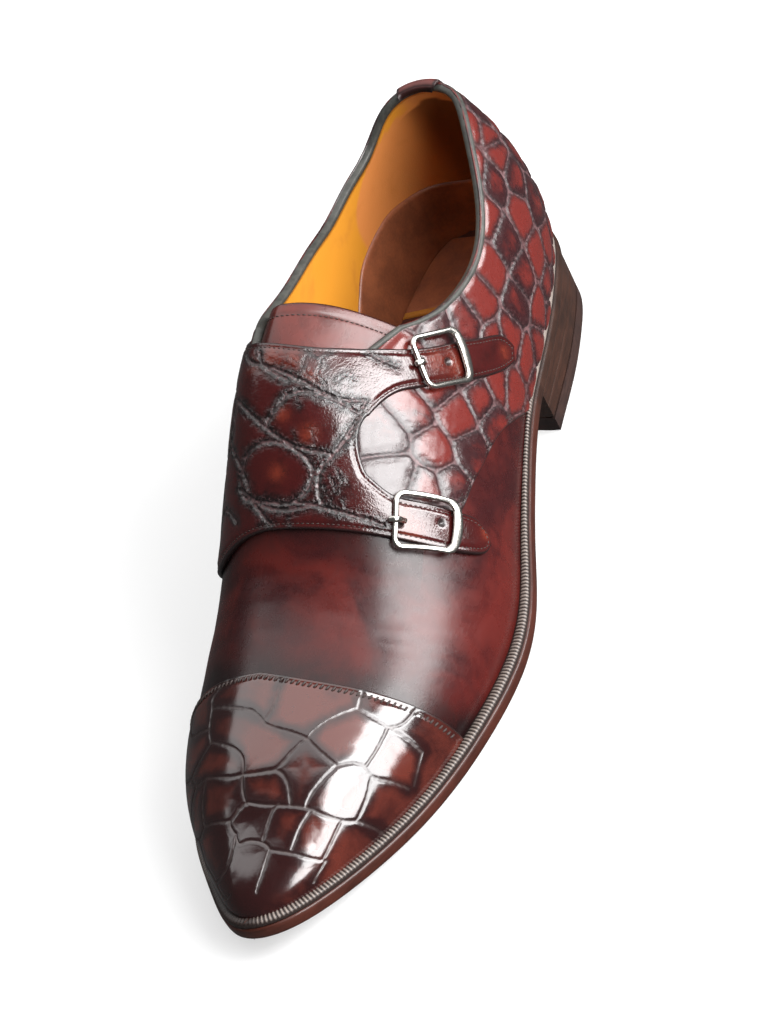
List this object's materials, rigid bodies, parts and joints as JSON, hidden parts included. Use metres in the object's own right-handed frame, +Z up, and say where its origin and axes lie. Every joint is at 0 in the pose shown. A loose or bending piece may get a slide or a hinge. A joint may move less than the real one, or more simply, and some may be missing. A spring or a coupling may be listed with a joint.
{
  "type": "double monk strap shoe",
  "caption": "Left dress shoe with a scaled-leather toe cap, a strap panel that crosses the instep to metal frame buckles, a welted leather sole and a stacked heel.",
  "frame": {"origin": "middle of the shoe's footprint on the floor it stands on: the bottom centre of its bounding box", "axes": "+Z up; +Y towards the heel, so the toe points along -Y; +X towards the outer side of the foot, where the buckles are"},
  "size_m": [0.105, 0.305, 0.11],
  "materials": {
    "sole_leather": "waxed reddish brown edge",
    "welt_leather": "wheeled grey-brown top",
    "heel_leather": "stacked leather, polished edge",
    "top_piece": "matte",
    "upper_leather": "burnished smooth calf, mottled mahogany",
    "cap_leather": "glossy scaled leather",
    "strap_leather": "glossy scaled leather",
    "tongue_leather": "smooth, satin",
    "insole_leather": "smooth lining leather",
    "buckle_steel": "polished"
  },
  "bodies": {
    "root": {"outsole": "sole_leather", "welt": "welt_leather", "heel_stack": "heel_leather", "heel_top_piece": "top_piece", "upper": "upper_leather", "toe_cap": "cap_leather", "strap_panel": "strap_leather", "tongue": "tongue_leather", "insole": "insole_leather", "buckle_frame_upper": "buckle_steel", "buckle_frame_lower": "buckle_steel", "buckle_prong_upper": "buckle_steel", "buckle_prong_lower": "buckle_steel"}
  },
  "joints": []
}
